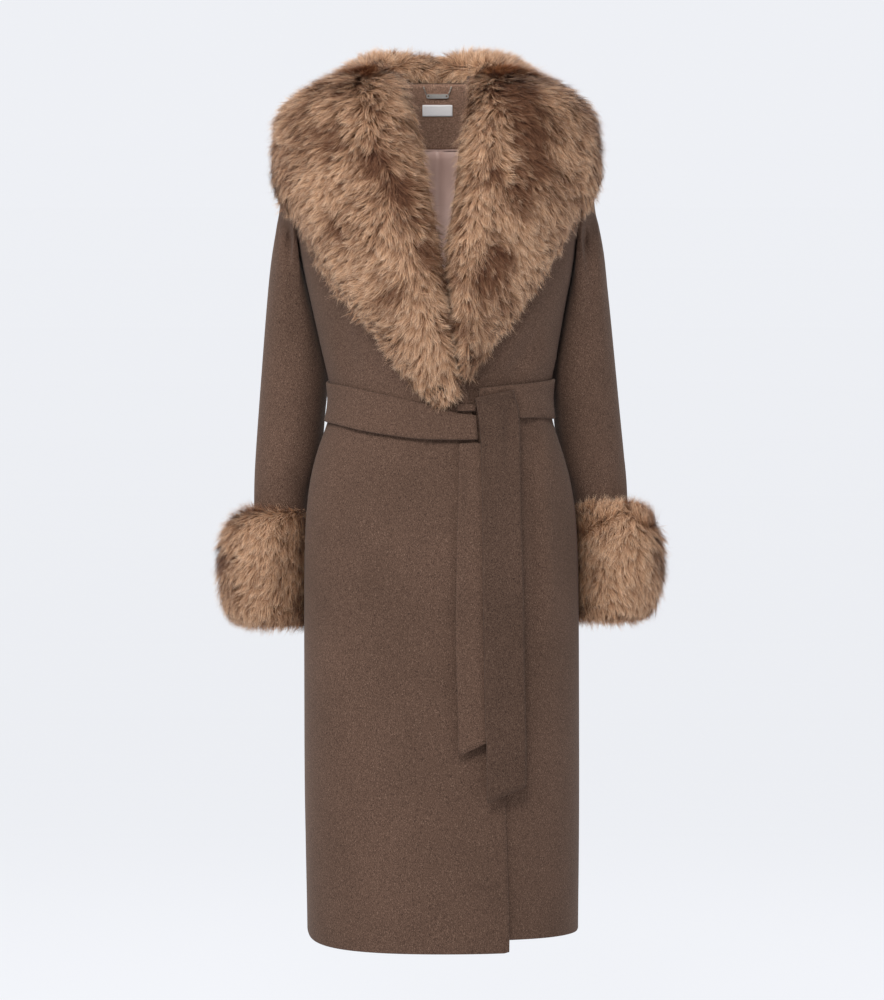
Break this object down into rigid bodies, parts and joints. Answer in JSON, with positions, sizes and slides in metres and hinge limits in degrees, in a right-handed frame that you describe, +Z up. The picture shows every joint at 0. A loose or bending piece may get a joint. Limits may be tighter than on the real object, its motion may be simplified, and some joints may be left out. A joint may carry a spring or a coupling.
{
  "type": "wrap coat",
  "caption": "Long wool wrap coat with a fur shawl collar, fur cuffs and a tie belt, filled out with no wearer.",
  "frame": {"origin": "middle of the neck opening at the height of the back neck seam, where the wearer's shoulders hold the coat", "axes": "+Z up, the coat's front faces -Y, the wearer's left is +X"},
  "size_m": [0.588, 0.2962, 1.1643],
  "materials": {
    "wool": "brushed brown wool melange",
    "fur": "long tan fur with dark and pale locks",
    "lining": "mauve satin",
    "label": "plain woven white",
    "metal": "warm brushed metal"
  },
  "bodies": {
    "root": {"back": "wool", "front_right": "wool", "front_left": "wool", "sleeve_right": "wool", "sleeve_left": "wool", "cuff_right": "fur", "cuff_left": "fur", "collar_right": "fur", "collar_left": "fur", "belt_waist": "wool", "belt_wrap": "wool", "belt_front_tail": "wool", "belt_back_tail": "wool", "facing_back": "wool", "lining_back": "lining", "label": "label", "hanger_plate": "metal", "hanger_chain_right": "metal", "hanger_chain_left": "metal"}
  },
  "joints": []
}
